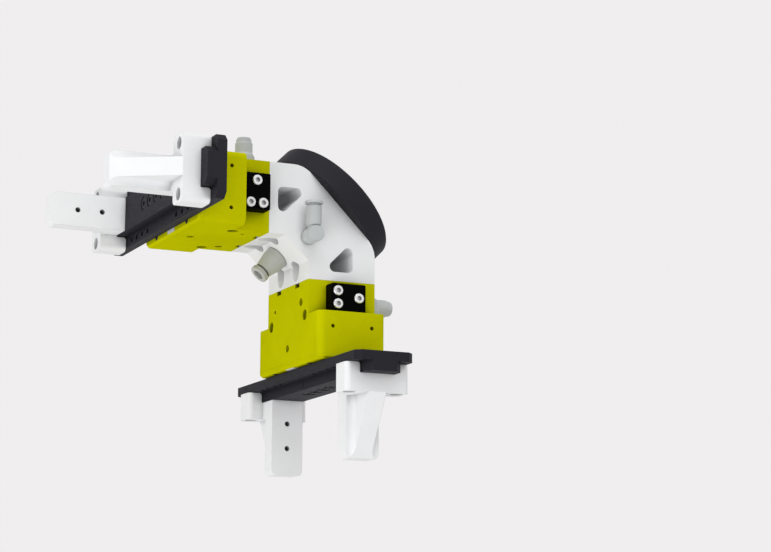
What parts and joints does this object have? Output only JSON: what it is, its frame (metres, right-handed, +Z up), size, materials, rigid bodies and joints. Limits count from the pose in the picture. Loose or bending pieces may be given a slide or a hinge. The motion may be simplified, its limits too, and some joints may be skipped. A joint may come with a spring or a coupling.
{
  "type": "dual robot gripper",
  "caption": "Robot end tool with parallel pneumatic grippers at right angles on a corner bracket, with long jaw rails, printed fingers and air fittings.",
  "frame": {"origin": "centre of the adapter disc's robot face, where the robot flange meets it", "axes": "+Z up as pictured, +Y along the jaw strokes away from the viewer, robot axis along (+X +Z); one gripper points to -X and the other to -Z"},
  "size_m": [0.18, 0.1758, 0.18],
  "materials": {
    "body": "chartreuse anodised, satin",
    "guide_plate": "chartreuse anodised, satin",
    "air_cover": "black anodised, matt",
    "rail": "dark grey hard anodised, satin",
    "disc": "dark grey anodised, satin",
    "bracket": "white sintered nylon, fine grain",
    "finger": "white sintered nylon, fine grain",
    "screw": "zinc plated, bright",
    "dark_screw": "black oxide",
    "inner_steel": "ground steel",
    "piston": "turned aluminium",
    "seal": "nitrile rubber",
    "wiper": "light grey plastic",
    "fitting": "light grey plastic, satin",
    "collar": "light grey plastic, satin",
    "inner_fitting": "warm grey plastic, satin",
    "stud": "nickel plated",
    "plug": "chartreuse anodised, satin"
  },
  "bodies": {
    "frame": {"adapter_disc": "disc", "angle_bracket": "bracket", "flange_dowel": "inner_steel", "flange_screws": "screw", "cover_screws": "screw", "plate_screws": "dark_screw", "gripper_screws": "screw", "guide_wipers": "wiper", "bore_plugs": "plug", "plug_seals": "seal", "side_fittings": "fitting", "inner_fitting": "inner_fitting", "elbow_stud": "stud", "housing_a": "body", "guide_plate_a": "guide_plate", "air_covers_a": "air_cover", "pinion_axle_a": "inner_steel", "housing_b": "body", "guide_plate_b": "guide_plate", "air_covers_b": "air_cover", "pinion_axle_b": "inner_steel"},
    "elbow": {"elbow_body": "fitting"},
    "elbow_release": {"elbow_collar": "collar"},
    "inner_release": {"inner_collar": "inner_fitting"},
    "pinion_wheel_a": {"pinion_a": "inner_steel"},
    "jaw_a_near": {"carriage_a_near": "inner_steel", "piston_a_near": "piston", "piston_seals_a_near": "seal", "rail_a_near": "rail", "rail_screws_a_near": "dark_screw", "finger_a_near": "finger", "finger_screws_a_near": "screw"},
    "side_release_a_near": {"side_collar_a_near": "collar"},
    "jaw_a_far": {"carriage_a_far": "inner_steel", "piston_a_far": "piston", "piston_seals_a_far": "seal", "rail_a_far": "rail", "rail_screws_a_far": "dark_screw", "finger_a_far": "finger", "finger_screws_a_far": "screw"},
    "side_release_a_far": {"side_collar_a_far": "collar"},
    "pinion_wheel_b": {"pinion_b": "inner_steel"},
    "jaw_b_near": {"carriage_b_near": "inner_steel", "piston_b_near": "piston", "piston_seals_b_near": "seal", "rail_b_near": "rail", "rail_screws_b_near": "dark_screw", "finger_b_near": "finger", "finger_screws_b_near": "screw"},
    "side_release_b_near": {"side_collar_b_near": "collar"},
    "jaw_b_far": {"carriage_b_far": "inner_steel", "piston_b_far": "piston", "piston_seals_b_far": "seal", "rail_b_far": "rail", "rail_screws_b_far": "dark_screw", "finger_b_far": "finger", "finger_screws_b_far": "screw"},
    "side_release_b_far": {"side_collar_b_far": "collar"}
  },
  "joints": [
    {"name": "jaw_a_near_slide", "type": "slide", "parent": "frame", "child": "jaw_a_near", "axis": [0, -1, 0], "range_m": [0, 0.02]},
    {"name": "side_release_a_near_press", "type": "slide", "parent": "frame", "child": "side_release_a_near", "axis": [0, 0, -1], "range_m": [0, 0.001], "stiffness_N_per_m": 400, "springref_m": -0.0005},
    {"name": "jaw_a_far_slide", "type": "slide", "parent": "frame", "child": "jaw_a_far", "axis": [0, 1, 0], "range_m": [0, 0.02]},
    {"name": "side_release_a_far_press", "type": "slide", "parent": "frame", "child": "side_release_a_far", "axis": [0, 0, -1], "range_m": [0, 0.001], "stiffness_N_per_m": 400, "springref_m": -0.0005},
    {"name": "pinion_a_turn", "type": "hinge", "parent": "frame", "child": "pinion_wheel_a", "pos_m": [-0.08943, 0, -0.00788], "axis": [-1, 0, 0], "range_deg": [0, 205]},
    {"name": "jaw_b_near_slide", "type": "slide", "parent": "frame", "child": "jaw_b_near", "axis": [0, -1, 0], "range_m": [0, 0.02]},
    {"name": "side_release_b_near_press", "type": "slide", "parent": "frame", "child": "side_release_b_near", "axis": [-1, 0, 0], "range_m": [0, 0.001], "stiffness_N_per_m": 400, "springref_m": -0.0005},
    {"name": "jaw_b_far_slide", "type": "slide", "parent": "frame", "child": "jaw_b_far", "axis": [0, 1, 0], "range_m": [0, 0.02]},
    {"name": "side_release_b_far_press", "type": "slide", "parent": "frame", "child": "side_release_b_far", "axis": [-1, 0, 0], "range_m": [0, 0.001], "stiffness_N_per_m": 400, "springref_m": -0.0005},
    {"name": "pinion_b_turn", "type": "hinge", "parent": "frame", "child": "pinion_wheel_b", "pos_m": [-0.00788, 0, -0.08943], "axis": [0, 0, -1], "range_deg": [0, 205]},
    {"name": "elbow_swivel", "type": "hinge", "parent": "frame", "child": "elbow", "pos_m": [-0.02828, -0.036, -0.02828], "axis": [0, -1, 0], "continuous": true},
    {"name": "elbow_release_press", "type": "slide", "parent": "elbow", "child": "elbow_release", "axis": [0, 0, -1], "range_m": [0, 0.001], "stiffness_N_per_m": 400, "springref_m": -0.0005},
    {"name": "inner_release_press", "type": "slide", "parent": "frame", "child": "inner_release", "axis": [0.7071, 0, 0.7071], "range_m": [0, 0.001], "stiffness_N_per_m": 400, "springref_m": -0.0005}
  ],
  "couplings": [
    {"joint": "jaw_a_far_slide", "follows": "jaw_a_near_slide", "ratio": 1},
    {"joint": "pinion_a_turn", "follows": "jaw_a_near_slide", "rad_per_m": 178.57},
    {"joint": "jaw_b_far_slide", "follows": "jaw_b_near_slide", "ratio": 1},
    {"joint": "pinion_b_turn", "follows": "jaw_b_near_slide", "rad_per_m": 178.57}
  ]
}
